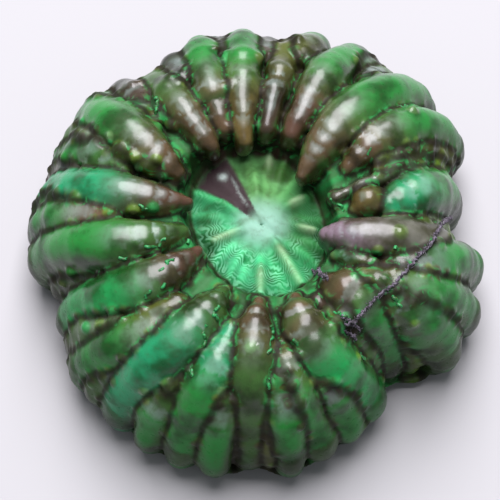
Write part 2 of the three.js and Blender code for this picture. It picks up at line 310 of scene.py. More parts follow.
# The body under the lobes: the wall that joins them, and in the middle the disc, a shallow bowl of thin skin
# over plates of stone, with a rounded ridge over each of the larger plates and a slit for a mouth.
CORE_SINK = 1.4
CORE_INSET = 1.2
DISC_LIP = (15.5, 24.6)
UNDERSIDE = [(41.6, 11), (41.7, 8), (40.8, 5), (38.8, 2.6), (36, 1.2), (32, 0.3), (29, -1), (0, -1)]
TABLE_STEP = 0.25
FAR = 1e9
GROOVE_DEPTH = 0.9
GROOVE_WIDTH = 0.04
TROUGH_DEPTH = 0.5
SEPTUM_WIDTH = 1.1
SEPTUM_SINK = 0.2
SEPTUM_SIDE = 60
SLIT_BEARING = -38.0
SLIT_LENGTH = 4.5
SLIT_DEPTH = 0.45
SLIT_WIDTH = 0.6
LIP_HEIGHT = 0.2
LIP_OFFSET = 1.5
LIP_WIDTH = 1.0
FOLD_COUNT = 34
FOLD_HEIGHT = 0.22
LOWEST_RELIEF = 12

# The ridges: bearing, the shares of the disc's radius where the ridge starts and ends, and its height.
SEPTA = [
    (10, 0.6, 1.0, 0.8), (38, 0.45, 0.85, 1.5), (58, 0.5, 0.95, 0.7), (72, 0.7, 1.0, 1.1),
    (84, 0.72, 1.02, 1.3), (97, 0.35, 0.7, 1.2), (101, 0.75, 1.05, 1.0), (114, 0.2, 1.0, 0.7),
    (128, 0.3, 0.95, 0.5), (149, 0.4, 1.0, 1.1), (168, 0.65, 1.0, 0.9), (183, 0.7, 1.0, 0.6),
    (198, 0.3, 0.85, 1.4), (218, 0.6, 1.0, 0.9), (239, 0.5, 1.0, 1.1), (250, 0.7, 1.0, 0.7),
    (269, 0.55, 1.0, 1.5), (287, 0.7, 1.0, 0.6), (303, 0.3, 1.0, 1.3), (325, 0.65, 1.0, 1.1),
    (341, 0.7, 1.0, 0.7), (356, 0.5, 0.9, 1.6),
]


def core_outline():
    """The body as a closed outline of distance and height, before it takes the real rim's outline."""
    outward = np.concatenate([np.linspace(0.1, 0.9, 17), [0.93, 0.96]])
    top = [(DISC_RADIUS + q * (RIM_RADIUS - DISC_RADIUS), crest_height(q) - CORE_SINK) for q in outward]
    fall = MOUTH_HEIGHT - DISC_EDGE_HEIGHT
    disc = [(DISC_RADIUS * share, MOUTH_HEIGHT - fall * share**2) for share in np.linspace(0, 1, 9)]
    return np.array(disc + [DISC_LIP] + top + UNDERSIDE)


def outline_distance(outline, x, z):
    """Signed distance from points to a closed outline, negative inside."""
    best = np.full(x.shape, FAR)
    inside = np.zeros(x.shape, bool)
    for (ax, az), (bx, bz) in zip(outline, np.roll(outline, -1, axis=0)):
        ex, ez = bx - ax, bz - az
        along = np.clip(((x - ax) * ex + (z - az) * ez) / (ex * ex + ez * ez), 0, 1)
        best = np.minimum(best, np.hypot(x - ax - along * ex, z - az - along * ez))
        if ez:
            inside ^= ((az > z) != (bz > z)) & (x < ax + ex * (z - az) / ez)
    return np.where(inside, -best, best)


table_x, table_z = np.arange(0, 56, TABLE_STEP), np.arange(-4, 42, TABLE_STEP)
core_table = outline_distance(core_outline(), *np.meshgrid(table_x, table_z, indexing="ij"))


def wall_folds(x, y, z):
    """The fine upright folds of the wall, from -1 in a furrow to 1 on a fold."""
    turns = np.radians(polar(x, y)[0])
    return np.sin(turns * FOLD_COUNT + 2.5 * np.sin(turns * 5) + 0.5 * z)


def disc_relief(bearing, distance, share):
    """How far the disc stands above its plain bowl: its ridges, its mouth slit and the groove round it."""
    height = -GROOVE_DEPTH * bell(share - 1.0, GROOVE_WIDTH)
    height = height - TROUGH_DEPTH * smooth(0.3, 0.6, share) * smooth(1.05, 1.0, share)
    for septum, first, last, tall in SEPTA:
        swing = turn_between(bearing, septum)
        across = distance * np.sin(np.radians(swing))
        length = smooth(first - 0.15, first + 0.1, share) * (1 - smooth(last, last + 0.1, share))
        ahead = np.abs(swing) < SEPTUM_SIDE
        height = np.maximum(height, tall * length * ahead * bell(across, SEPTUM_WIDTH) - SEPTUM_SINK)
    turned = np.radians(bearing - SLIT_BEARING)
    across, along = distance * np.sin(turned), distance * np.cos(turned)
    within = smooth(SLIT_LENGTH + 1.5, SLIT_LENGTH - 0.5, np.abs(along))
    lips = LIP_HEIGHT * bell(np.abs(across) - LIP_OFFSET, LIP_WIDTH)
    return height + within * (lips - SLIT_DEPTH * bell(across, SLIT_WIDTH))


def core_distance(x, y, z):
    """Signed distance to the body: read off the table, and drawn out to the real disc and rim."""
    bearing, distance = polar(x, y)
    disc, rim = disc_radius(bearing), rim_radius(bearing) - CORE_INSET
    stretch = np.where(distance < disc, DISC_RADIUS / disc, (RIM_RADIUS - DISC_RADIUS) / (rim - disc))
    nominal = np.where(distance < disc, distance * stretch, DISC_RADIUS + (distance - disc) * stretch)
    u = np.clip(nominal / TABLE_STEP, 0, len(table_x) - 2.001)
    v = np.clip((z - table_z[0]) / TABLE_STEP, 0, len(table_z) - 2.001)
    i, j = u.astype(int), v.astype(int)
    fu, fv = u - i, v - j
    low = core_table[i, j] * (1 - fu) + core_table[i + 1, j] * fu
    high = core_table[i, j + 1] * (1 - fu) + core_table[i + 1, j + 1] * fu
    plain = low * (1 - fv) + high * fv
    turns = np.radians(bearing)
    share = distance / disc + 0.02 * np.sin(turns * 7 + 1) + 0.015 * np.sin(turns * 12)
    relief = disc_relief(bearing, distance, share)
    wrinkle = FOLD_HEIGHT * wall_folds(x, y, z) * smooth(1.02, 1.12, share) * (1 - smooth(1.7, 2.1, share))
    return plain - (relief + wrinkle) * (z > LOWEST_RELIEF)


# The flesh as one body: a grid of distances to the nearest skin, in which the lobes are joined to the body.
# Each lobe is round on top, widens into a keel where it sinks between its neighbours, and has pleats on its
# flanks.
VOXEL = 0.4
FIELD_REACH = 2.4
LOW_CORNER = np.array([-50.0, -50.0, -2.25])
CELLS = (251, 251, 98)
KEEL_DEPTH = 0.5
KEEL_FLARE = 0.2
KEEL_REACH = 4
PLEAT_PITCH = 1.7
PLEAT_DEPTH = 0.08
PLEAT_END = 0.6
PLEAT_BAND = (0.7, 0.3)
MARGIN_ABOVE = np.array([1.2, 1.2, 1.0])
MARGIN_BELOW = np.array([1.2, 1.2, 1.8])

grid_x = (LOW_CORNER[0] + VOXEL * np.arange(CELLS[0]))[:, None, None]
grid_y = (LOW_CORNER[1] + VOXEL * np.arange(CELLS[1]))[None, :, None]
grid_z = (LOW_CORNER[2] + VOXEL * np.arange(CELLS[2]))[None, None, :]
field = core_distance(grid_x, grid_y, grid_z)
behind = np.full(CELLS, FIELD_REACH * 2)


def pleat_wave(run):
    """The pleats along a lobe, from -1 in a furrow to 1 on a fold."""
    return np.sin(2 * math.pi * run / PLEAT_PITCH + 1.3 * np.sin(0.8 * run))


def segment_distance(place, ends, radii, runs, pleated):
    """Distance from places to one stretch of a lobe, and how far along the stretch each place is."""
    (x, y, z), (a, b) = place, ends
    edge = b - a
    along = ((x - a[0]) * edge[0] + (y - a[1]) * edge[1] + (z - a[2]) * edge[2]) / max(edge @ edge, 1e-6)
    along = np.clip(along, 0, 1)
    rise = z - a[2] - along * edge[2]
    depth = np.maximum(-rise, 0)
    rise = np.where(rise < 0, rise * KEEL_DEPTH, rise)
    gap = np.sqrt((x - a[0] - along * edge[0]) ** 2 + (y - a[1] - along * edge[1]) ** 2 + rise**2)
    radius = radii[0] + (radii[1] - radii[0]) * along
    pleat = pleat_wave(runs[0] + (runs[1] - runs[0]) * along) * smooth(*PLEAT_BAND, rise / radius) * pleated
    return gap - radius - KEEL_FLARE * np.minimum(depth, KEEL_REACH) - PLEAT_DEPTH * pleat, along


def cells_round(low, high):
    """The block of grid cells that holds a box given by its corners."""
    first = np.maximum(np.floor((low - LOW_CORNER) / VOXEL), 0).astype(int)
    last = np.ceil((high - LOW_CORNER) / VOXEL).astype(int)
    return tuple(slice(a, b) for a, b in zip(first, last))


def cell_places(block):
    """The places of a block's cells, as three arrays that spread over the block."""
    return grid_x[block[0]], grid_y[:, block[1]], grid_z[:, :, block[2]]


for one in lobes:
    path, radius, length = one["path"], one["radius"], one["length"]
    pleated = smooth(0, 0.15, one["share"]) * smooth(PLEAT_END, PLEAT_END - 0.3, one["share"])
    whole = np.full(CELLS, FIELD_REACH * 2, np.float32)
    for k in range(len(path) - 1):
        ends, radii, runs = path[k:k + 2], radius[k:k + 2], length[k:k + 2]
        wide = radii.max() + FIELD_REACH
        block = cells_round(ends.min(axis=0) - wide * MARGIN_BELOW, ends.max(axis=0) + wide * MARGIN_ABOVE)
        near, _ = segment_distance(cell_places(block), ends, radii, runs, pleated[k])
        whole[block] = np.minimum(whole[block], near)
    widest = (radius.max() + FIELD_REACH) * MARGIN_BELOW
    block = cells_round(path.min(axis=0) - widest, path.max(axis=0) + widest)
    behind[block] = np.minimum(behind[block], np.maximum(field[block], whole[block]))
    field[block] = np.minimum(field[block], whole[block])

# The lumps and knobs: small swellings of the same skin, crowded in the creases between the lobes. The lumps
# are strewn at random, and the knobs are the larger ones that stand out.
LUMP_SEED = 5
LUMP_SPACING = 2.2
LUMP_RADIUS = (0.5, 1.1)
LUMP_BLEND = 0.75
LUMP_SINK = 0.3
LUMP_BAND = 0.3
LUMP_CREASE = 0.9
LUMP_LOWEST = 9
LUMP_CLEARANCE = 1.5
BALL_MARGIN = 1.2
KNOB_SINK = 0.35
KNOB_BLEND = 0.5

# The pale knobs are part pale skin and part painted glint.
# Each knob's bearing, distance, radius and colour.
KNOBS = [
    (155, 30.2, 2.0, "lime"), (156, 27.1, 1.4, "lime"), (157, 24.2, 1.5, "lime"),
    (154, 22.8, 1.0, "lime"), (159, 25.7, 1.0, "bright"), (158, 21, 1.1, "bright"),
    (160, 30, 0.9, "pale"), (152, 33.5, 0.8, "pale"), (174, 36, 1.6, "lime"), (181, 29.4, 1.2, "lime"),
    (180, 24.6, 1.4, "lime"), (179, 21, 1.1, "bright"), (212, 39.6, 1.1, "bright"),
    (215, 37.6, 1.3, "lime"), (217, 35.6, 1.1, "lime"), (195, 38.5, 0.9, "green"),
    (217, 35.6, 0.9, "pale"), (227, 39, 1, "umber"), (229, 34.2, 0.9, "umber"),
    (243, 38.3, 1.6, "lime"), (237, 41, 0.9, "pale"), (247, 35.2, 0.9, "bright"),
    (258, 36.9, 0.8, "pale"), (37, 37.5, 1.1, "pale"), (350, 35, 1.1, "pale"), (341, 27.4, 1, "lime"),
    (338, 24, 0.9, "lime"), (348, 27, 1.4, "lime"), (358, 31.8, 1.5, "lime"), (301, 27, 1.5, "lime"),
    (272, 34.6, 1, "bright"), (272, 38, 1, "bright"), (266, 29.2, 1.1, "pale"), (285, 33, 1, "bright"),
    (288, 36.8, 0.7, "pale"), (323, 36.5, 0.9, "lime"), (303, 33.5, 0.8, "lime"),
    (134, 34.4, 1.3, "umber"), (131, 39, 1.4, "umber"), (136, 29.5, 1.7, "olive"),
    (139, 27.5, 1.3, "green"), (133, 26, 1.2, "olive"), (79, 41, 1.2, "olive"), (91, 34, 1.2, "olive"),
]


def join_ball(centre, size, blend):
    """Joins a ball to the flesh, with a seam that is softened over the width of blend."""
    block = cells_round(centre - size - BALL_MARGIN, centre + size + BALL_MARGIN)
    x, y, z = cell_places(block)
    away = np.sqrt((x - centre[0]) ** 2 + (y - centre[1]) ** 2 + (z - centre[2]) ** 2) - size
    share = np.clip(0.5 + 0.5 * (away - field[block]) / blend, 0, 1)
    field[block] = away * (1 - share) + field[block] * share - blend * share * (1 - share)


shuffle = np.random.default_rng(LUMP_SEED)
near_skin = np.abs(field + LUMP_SINK) < LUMP_BAND
sites = np.argwhere(near_skin & (behind - field < LUMP_CREASE) & (grid_z > LUMP_LOWEST))
sites = sites[shuffle.permutation(len(sites))] * VOXEL + LOW_CORNER
_, first = np.unique(np.floor(sites / LUMP_SPACING).astype(int), axis=0, return_index=True)
lumps = sites[np.sort(first)]
site_bearing, site_distance = polar(lumps[:, 0], lumps[:, 1])
lumps = lumps[site_distance > disc_radius(site_bearing) + LUMP_CLEARANCE]
lump_radius = shuffle.uniform(*LUMP_RADIUS, len(lumps))
lump_shade = shuffle.uniform(0, 1, len(lumps))
for centre, size in zip(lumps, lump_radius):
    join_ball(centre, size, LUMP_BLEND)

knob_places = []
for knob_bearing, knob_distance, size, _ in KNOBS:
    spot = np.array(plan((knob_bearing, knob_distance)))
    column = tuple(np.round((spot - LOW_CORNER[:2]) / VOXEL).astype(int))
    top = LOW_CORNER[2] + VOXEL * np.flatnonzero(field[column] < 0)[-1]
    knob_places.append(np.array([*spot, top - KNOB_SINK * size]))
    join_ball(knob_places[-1], size, KNOB_BLEND)

# The skirt and the cut: a thin frayed edge of skin runs round the polyp's foot, just above the flat cut where
# it stood on the sea floor. All the flesh swells a little unevenly.
SKIRT_HEIGHT = 3.4
SKIRT_REACH = 1.0
SKIRT_INNER = 30.0
SKIRT_BULGE = 0.05
SKIRT_FRAY = 0.3
SKIRT_FRAYS = 37
SKIRT_WAVE = 0.5
SKIRT_WAVES = 23
SKIRT_HALF = 0.45
SWELL_HEIGHT = 0.2
RUMPLE_HEIGHT = 0.03
BASE_SKIN = 0.05
FLESH_TRIANGLES = 190000

plan_bearing, plan_distance = polar(grid_x[:, :, 0], grid_y[:, :, 0])
turns = np.radians(plan_bearing)
skirt_edge = np.full(turns.shape, SKIRT_INNER)
for end_bearing, end_distance in rim_ends:
    across = np.radians(turn_between(plan_bearing, end_bearing)) * end_distance
    skirt_edge = np.maximum(skirt_edge, end_distance + SKIRT_REACH - SKIRT_BULGE * across**2)
past_edge = np.maximum(plan_distance - (skirt_edge + SKIRT_FRAY * np.sin(SKIRT_FRAYS * turns)), 0)
skirt_level = SKIRT_HEIGHT + SKIRT_WAVE * np.sin(SKIRT_WAVES * turns + 1)
field = np.minimum(field, np.hypot(past_edge[:, :, None], grid_z - skirt_level[:, :, None]) - SKIRT_HALF)


def swell(x, y, z):
    """Slow uneven swelling of the flesh."""
    first = np.sin(0.55 * x + 1.3) * np.sin(0.61 * y + 0.4) * np.sin(0.5 * z + 2.1)
    second = np.sin(1.05 * x - 0.7 * y + 0.9) * np.sin(0.9 * y + 0.6 * z + 1.7)
    return SWELL_HEIGHT * first + RUMPLE_HEIGHT * second


field += swell(grid_x, grid_y, grid_z) * smooth(0, 3, grid_z)
field = np.maximum(field, -grid_z)

flesh_grid = openvdb.FloatGrid(FIELD_REACH)
flesh_grid.copyFromArray(np.clip(field, -FIELD_REACH, FIELD_REACH).astype(np.float32))
points, triangles, quads = flesh_grid.convertToPolygons(isovalue=0.0, adaptivity=0.0)
points = points * VOXEL + LOW_CORNER
faces = quads if len(quads) else triangles


def outer_skin(points, faces):
    """Keeps the one outer skin, and drops the closed pockets between the lobes and the body."""
    label = np.arange(len(points))
    while True:
        lowest = label[faces].min(axis=1)
        fresh = label.copy()
        for corner in range(faces.shape[1]):
            np.minimum.at(fresh, faces[:, corner], lowest)
        fresh = fresh[fresh]
        if np.array_equal(fresh, label):
            break
        label = fresh
    names, sizes = np.unique(label[faces[:, 0]], return_counts=True)
    kept = faces[label[faces[:, 0]] == names[np.argmax(sizes)]]
    used, index = np.unique(kept, return_inverse=True)
    return points[used], index.reshape(kept.shape)


def relax(points, faces, rounds=3):
    """Takes the grid's steps out of the skin by moving each point towards the middle of its neighbours."""
    starts, ends = faces.ravel(), np.roll(faces, -1, axis=1).ravel()
    starts, ends = np.append(starts, ends), np.append(ends, starts)
    count = np.bincount(starts, minlength=len(points))
    for _ in range(rounds):
        sums = [np.bincount(starts, points[ends, axis], len(points)) for axis in range(3)]
        points = points + 0.5 * (np.column_stack(sums) / count[:, None] - points)
    return points


def baked(bearer):
    """The mesh of an object with its modifiers applied."""
    return bpy.data.meshes.new_from_object(bearer.evaluated_get(bpy.context.evaluated_depsgraph_get()))


points, faces = outer_skin(points, faces)
base = points[:, 2] < BASE_SKIN
points = relax(points, faces)
points[base | (points[:, 2] < 0), 2] = 0
mesh = bpy.data.meshes.new("polyp_skin")
mesh.from_pydata(points * MM, [], faces)
polyp = bpy.data.objects.new("polyp_flesh", mesh)
bpy.context.scene.collection.objects.link(polyp)
thinner = polyp.modifiers.new("thinner", "DECIMATE")
thinner.ratio = FLESH_TRIANGLES / (2 * len(faces))
mesh = baked(polyp)
polyp.modifiers.remove(thinner)
polyp.data = mesh
mesh.name = "polyp_flesh"
mesh.shade_smooth()
for face in mesh.polygons:
    face.use_smooth = face.center.z > BASE_SKIN * MM

# The flesh's colours: brown inner ends that turn green over the crest under a painted highlight, creases
# darkened with painted shade, olive and green pleats on the flanks, and a mint disc with one dark bare
# sector. They are laid on the skin's own points.
PAINTED_SHEEN_SHARE = 0.34
INNER_END = (0.2, 0.62)
CREASE_REACH = 1.5
FLANK_SHARE = 0.7
PLEAT_GREEN = 0.55
FOLD_GREEN = 0.55
HALO_SHARE = 0.6
HALO_OFFSET = 0.7
HALO_WIDTH = 0.28
HALO_FADE = (27, 22)
LUMP_TINT = 0.8
LUMP_TINT_EDGE = (0.35, -0.1)
KNOB_TINT = 0.7
KNOB_TINT_EDGE = (0.5, 0)
LACE_OFFSET = 0.8
LACE_WIDTH = 0.35
LACE_FADE = (41, 33)
LOW_WALL = 14
COLOUR_REACH = 8
DISC_SHADE = 0.62
DISC_MIDDLE_REACH = (7.5, 1.5)
SEPTUM_LIGHT = 0.45
SEPTUM_LIGHT_START = (3, 7)
EDGE_DARKNESS = 0.85
EDGE_WIDTH = 0.035
EDGE_WIDENS = (40, 75)
EDGE_NARROWS = (155, 125)
FOOT_SHADE = 0.55
FOOT_SHADE_HEIGHTS = (3, 21)
STONE_HEIGHTS = (0.35, 0.1)
VALLEY_HEIGHTS = (14, 18)
COAT_HEIGHTS = (18, 29)
STRIPELESS_BEARING = 80
STRIPE_SIDES = (30, 150)
STRIPE_START = (4.5, 8.5)
TALL_SEPTUM = 1.2
SEPTUM_TOP_WIDTH = 0.8
BOW_WIDTH = 8
DARK_SECTOR = (113, 144)
DARK_SECTOR_EDGE = 2
FLECK = (124, 13.6)
FLECK_SHARE = 0.8
FLECK_SPREAD = 0.6
FOLD_LINE = 121
FOLD_LINE_SHARE = 0.28
FOLD_LINE_WIDTH = 0.22
LUMP_COLOURS = [
    (0, srgb(48, 44, 32)), (0.4, srgb(76, 66, 42)), (0.65, srgb(66, 92, 48)), (0.82, srgb(108, 128, 56)),
    (0.93, srgb(50, 130, 66)), (1, srgb(60, 180, 100)),
]
# The wall's and the disc's colours by bearing.
WALL_COLOURS = [(60, FLESH["wall"]), (75, FLESH["umber"]), (120, FLESH["umber"]), (135, FLESH["wall"])]
DISC_COLOURS = [
    (0, srgb(42, 104, 54)), (30, srgb(56, 126, 70)), (75, srgb(84, 142, 80)), (105, srgb(88, 142, 82)),
    (148, srgb(52, 144, 88)), (175, srgb(70, 170, 116)), (215, srgb(84, 190, 134)),
    (260, srgb(72, 190, 128)), (305, srgb(58, 176, 108)), (335, srgb(46, 116, 60)),
]
DISC_MIDDLE = srgb(128, 172, 152)


def blend(base, over, share):
    """Colours mixed point by point, with the share of the second."""
    share = np.asarray(share)[..., None]
    return base * (1 - share) + over * share


def between(value, stops, period=None):
    """Colours read off a row of stops, each a number and its colour."""
    numbers = [number for number, _ in stops]
    channels = zip(*[colour for _, colour in stops])
    return np.column_stack([np.interp(value, numbers, channel, period=period) for channel in channels])


def lobe_look(one, close):
    """Distance to a lobe, its colour, how far each point faces out of its crest, and the way along it."""
    path, radius, share, length = one["path"], one["radius"], one["share"], one["length"]
    gap = np.full(len(close), FAR)
    spot, facing, run = np.zeros((3, len(close)))
    outward = np.column_stack([x[close] - MOUTH[0], y[close] - MOUTH[1]]) / distance[close][:, None]
    for k in range(len(path) - 1):
        step, along = segment_distance(
            points[close].T, path[k:k + 2], radius[k:k + 2], length[k:k + 2], 0
        )
        course = path[k + 1] - path[k]
        offset = (points[close] - path[k] - along[:, None] * course) / radius[k]
        level, drop = np.hypot(course[0], course[1]), -course[2]
        ahead = (offset[:, :2] * outward).sum(axis=1)
        front = (offset[:, 2] * level + ahead * drop) / math.hypot(level, drop)
        spot = np.where(step < gap, share[k] + (share[k + 1] - share[k]) * along, spot)
        facing = np.where(step < gap, front, facing)
        run = np.where(step < gap, length[k] + (length[k + 1] - length[k]) * along, run)
        gap = np.minimum(gap, step)
    colour = blend(FLESH[one["inner"]], FLESH[one["outer"]], smooth(*INNER_END, spot))
    # Painted highlight: a pale sheen along the inner half of each crest, where it faces up.
    painted_sheen = PAINTED_SHEEN_SHARE * smooth(0.84, 1, facing) * smooth(0.05, 0.15, spot) * smooth(0.6, 0.3, spot)
    return gap, blend(colour, FLESH["painted_sheen"], painted_sheen), facing, run


points = np.empty(len(mesh.vertices) * 3, np.float32)
mesh.vertices.foreach_get("co", points)
points = points.reshape(-1, 3).astype(float) / MM
x, y, z = points.T
bearing, distance = polar(x, y)
nearest, second = np.full((2, len(points)), FAR)
crown, pleat, septum_fan, bow_out, septum_top = np.zeros((5, len(points)))
tone = np.zeros((len(points), 3))
for one in lobes:
    low, high = one["path"].min(axis=0) - COLOUR_REACH, one["path"].max(axis=0) + COLOUR_REACH
    close = np.flatnonzero(np.all((points > low) & (points < high), axis=1))
    gap, colour, facing, run = lobe_look(one, close)
    closer = gap < nearest[close]
    second[close] = np.where(closer, nearest[close], np.minimum(second[close], gap))
    nearest[close[closer]] = gap[closer]
    tone[close[closer]] = colour[closer]
    crown[close[closer]] = smooth(0.4, 0.97, facing[closer])
    pleat[close[closer]] = pleat_wave(run[closer])
core_gap = core_distance(x, y, z)
on_core = core_gap < nearest
second = np.where(on_core, nearest, np.minimum(second, core_gap))
nearest = np.minimum(nearest, core_gap)
disc_share = distance / disc_radius(bearing)
on_disc = smooth(1.0, 0.95, disc_share) * on_core * (z > LOW_WALL + 1)

# The flanks and the wall are darker than the crests, with green folds and a bright line along the creases.
patch = 0.5 + 0.5 * np.sin(0.31 * x + 0.9) * np.sin(0.37 * y + 2) + 0.3 * np.sin(0.8 * x - 0.6 * y)
raised = smooth(0.2, 0.9, pleat) * smooth(0.2, 0.8, patch)
flank_tone = blend(tone, blend(FLESH["flank"], FLESH["green"], PLEAT_GREEN * raised), FLANK_SHARE)
tone = blend(flank_tone, tone, crown)
wall_tone = between(bearing % 360, WALL_COLOURS, period=360)
wall_tone = blend(wall_tone, FLESH["bright"], smooth(0.2, 1.0, wall_folds(x, y, z)) * FOLD_GREEN)
tone[on_core] = wall_tone[on_core]
halo = on_core * bell(second - HALO_OFFSET, HALO_WIDTH) * smooth(*HALO_FADE, distance)
halo *= smooth(0.3, 0.8, patch)
tone = blend(tone, FLESH["halo"], HALO_SHARE * halo)
# Painted shade: the body's wall low down, under the lobes, is coloured dark.
tone[on_core & (z < LOW_WALL)] = FLESH["dark"]

skin_places = KDTree(len(points))
for index, point in enumerate(points):
    skin_places.insert(point, index)
skin_places.balance()


def tint(centre, reach, full, colour, strength):
    """Colours the skin round a ball's centre, fully within the distance full and not at all beyond reach."""
    for _, index, away in skin_places.find_range(centre, reach):
        tone[index] = blend(tone[index], colour, strength * smooth(reach, full, away))


for centre, size, colour in zip(lumps, lump_radius, between(lump_shade, LUMP_COLOURS)):
    tint(centre, size + LUMP_TINT_EDGE[0], size + LUMP_TINT_EDGE[1], colour, LUMP_TINT)
for centre, (_, _, size, colour) in zip(knob_places, KNOBS):
    tint(centre, size + KNOB_TINT_EDGE[0], size + KNOB_TINT_EDGE[1], FLESH[colour], KNOB_TINT)

# The disc has painted light over its ridges and is palest in the middle, and a dark line runs round it.
# The tallest ridges' pale tops are part pale skin and part painted highlight.
for septum, first, last, tall in SEPTA:
    swing = turn_between(bearing, septum)
    across = distance * np.sin(np.radians(swing))
    ahead = np.abs(swing) < SEPTUM_SIDE
    septum_fan = np.maximum(septum_fan, ahead * bell(across, SEPTUM_WIDTH))
    bow_out = np.maximum(bow_out, tall * bell(swing, BOW_WIDTH))
    if tall > TALL_SEPTUM:
        length = smooth(first, first + 0.2, disc_share) * smooth(last, last - 0.1, disc_share)
        septum_top = np.maximum(septum_top, ahead * length * bell(across, SEPTUM_TOP_WIDTH))
light = DISC_SHADE + SEPTUM_LIGHT * septum_fan * smooth(*SEPTUM_LIGHT_START, distance)
disc_tone = between(bearing % 360, DISC_COLOURS, period=360) * light[:, None]
tone = blend(tone, blend(disc_tone, DISC_MIDDLE, smooth(*DISC_MIDDLE_REACH, distance)), on_disc)
edge_width = EDGE_WIDTH + EDGE_WIDTH * smooth(*EDGE_WIDENS, bearing) * smooth(*EDGE_NARROWS, bearing)
tone = blend(tone, FLESH["umber"] * 0.5, EDGE_DARKNESS * bell(disc_share - 1.02, edge_width) * on_core)
# Painted shade: all the flesh darkens towards its foot.
tone = tone * (FOOT_SHADE + (1 - FOOT_SHADE) * smooth(*FOOT_SHADE_HEIGHTS, z))[:, None]
tone = blend(tone, FLESH["stone"], smooth(*STONE_HEIGHTS, z))

# The dark sector holds a pale fleck at its outer edge and a faint pale fold that wanders along it.
dark_sector = smooth(DARK_SECTOR[0] - DARK_SECTOR_EDGE, DARK_SECTOR[0] + DARK_SECTOR_EDGE, bearing)
dark_sector *= smooth(DARK_SECTOR[1] + DARK_SECTOR_EDGE, DARK_SECTOR[1] - DARK_SECTOR_EDGE, bearing)
dark_sector *= smooth(1.5, 4, distance)
fleck_x, fleck_y = plan(FLECK)
fleck = FLECK_SHARE * np.exp(-(((x - fleck_x) ** 2 + (y - fleck_y) ** 2) / FLECK_SPREAD))
fold_swing = turn_between(bearing, FOLD_LINE + 3 * np.sin(0.35 * distance)) * distance / 57
fold_line = FOLD_LINE_SHARE * bell(fold_swing, FOLD_LINE_WIDTH)
fold_line *= smooth(3, 6, distance) * smooth(13, 11, distance)
ripple = 0.5 * np.sin(1.1 * x + 0.6 * y) + 0.4 * np.sin(1.7 * y - 0.5 * x + 2)
striped = smooth(*STRIPE_SIDES, np.abs(turn_between(bearing, STRIPELESS_BEARING)))
skin_layers = {
    "tone": tone,
    "crease": smooth(0.0, CREASE_REACH, second - nearest),
    "disc": on_disc,
    "dark_sector": dark_sector * on_disc,
    "pale_fleck": np.maximum(fleck, fold_line) * on_disc,
    "ring": distance + 1.5 * bow_out + ripple * smooth(3, 9, distance),
    "septum": septum_top * on_disc,
    "stripes": striped * smooth(*STRIPE_START, distance),
    "upper": smooth(*COAT_HEIGHTS, z),
    "lace": bell(second - nearest - LACE_OFFSET, LACE_WIDTH) * smooth(*LACE_FADE, distance) * (1 - on_disc),
    "valley": on_core * (1 - on_disc) * smooth(*VALLEY_HEIGHTS, z),
}
for name, values in skin_layers.items():
    if values.ndim == 2:
        kind, holds = "FLOAT_COLOR", "color"
        values = np.column_stack([values, np.ones(len(values))])
    else:
        kind, holds = "FLOAT", "value"
    mesh.attributes.new(name, kind, "POINT").data.foreach_set(holds, values.astype(np.float32).ravel())

# The flesh's finish: a wet skin that lets a little light in, glossy on the crests and dull in the creases.
# Thin dark and pale stripes ring the disc, and broken green lines like lace run along the creases.
COAT = 0.8
COAT_ROUGHNESS = 0.27
GLOSS = 0.14
ROUGHNESS = (0.27, 0.38)
CREASE_ROUGHNESS = 0.35
DISC_ROUGHNESS = 0.28
SEE_THROUGH = 0.08
SEE_THROUGH_DEPTH = 0.0015
SEE_THROUGH_TINT = (0.8, 1.0, 0.6)
STRIPES_PER_MM = 8.0
STRIPE_WANDER = 24
STRIPE_RELIEF = 0.15
FINE_RELIEF = 0.5
RELIEF_STRENGTH = 0.25
RELIEF_DEPTH = 0.0004
# How fine each pattern's grain is, in waves to the metre.
FINE_GRAIN = 900
PATCH_GRAIN = 160
STRIPE_GRAIN = 230
LACE_GRAIN = 380
PATCH_COLOUR = srgb(150, 150, 120)
SPECKLE = srgb(60, 56, 34)
DARK_STRIPE = srgb(110, 176, 140)
LIGHT_STRIPE = srgb(160, 226, 190)
PALE_RIDGE_AND_HIGHLIGHT = srgb(176, 200, 160)
BARE_SKIN = srgb(52, 41, 43)
FLECK_COLOUR = srgb(186, 204, 196)
# Painted shade for the creases.
PAINTED_CREASE_SHADE = srgb(30, 26, 20)
LACE_COLOUR = srgb(44, 140, 72)


def feed(tree, socket, value):
    """Links an output to a socket, or sets the socket to a number, a vector or a colour from srgb."""
    if isinstance(value, bpy.types.NodeSocket):
        tree.links.new(value, socket)
    elif isinstance(value, np.ndarray):
        socket.default_value = (*value, 1)
    else:
        socket.default_value = value


def wire(tree, kind, *feeds, **named):
    """A new node: capitalised names and the feeds in their order are its inputs, other names its settings."""
    node = tree.nodes.new(kind)
    inputs = []
    for name, value in named.items():
        if name[0].isupper():
            inputs.append((node.inputs[name.replace("_", " ")], value))
        else:
            setattr(node, name, value)
    for socket, value in [*inputs, *zip(node.inputs, feeds)]:
        feed(tree, socket, value)
    return node


def new_material(name, **values):
    """A material, its node tree and its shader, with values that are the same all over the surface."""
    material = bpy.data.materials.new(name)
    material.use_nodes = True
    shader = material.node_tree.nodes["Principled BSDF"]
    for socket, value in values.items():
        shader.inputs[socket.replace("_", " ")].default_value = value
    return material, material.node_tree, shader


def layer(tree, name, output="Fac"):
    return wire(tree, "ShaderNodeAttribute", attribute_name=name).outputs[output]


def mix(tree, share, one, other, way="MIX"):
    node = wire(tree, "ShaderNodeMix", data_type="RGBA", blend_type=way)
    for socket, value in ((0, share), (6, one), (7, other)):
        feed(tree, node.inputs[socket], value)
    return node.outputs[2]


def maths(tree, operation, *values):
    return wire(tree, "ShaderNodeMath", *values, operation=operation).outputs[0]


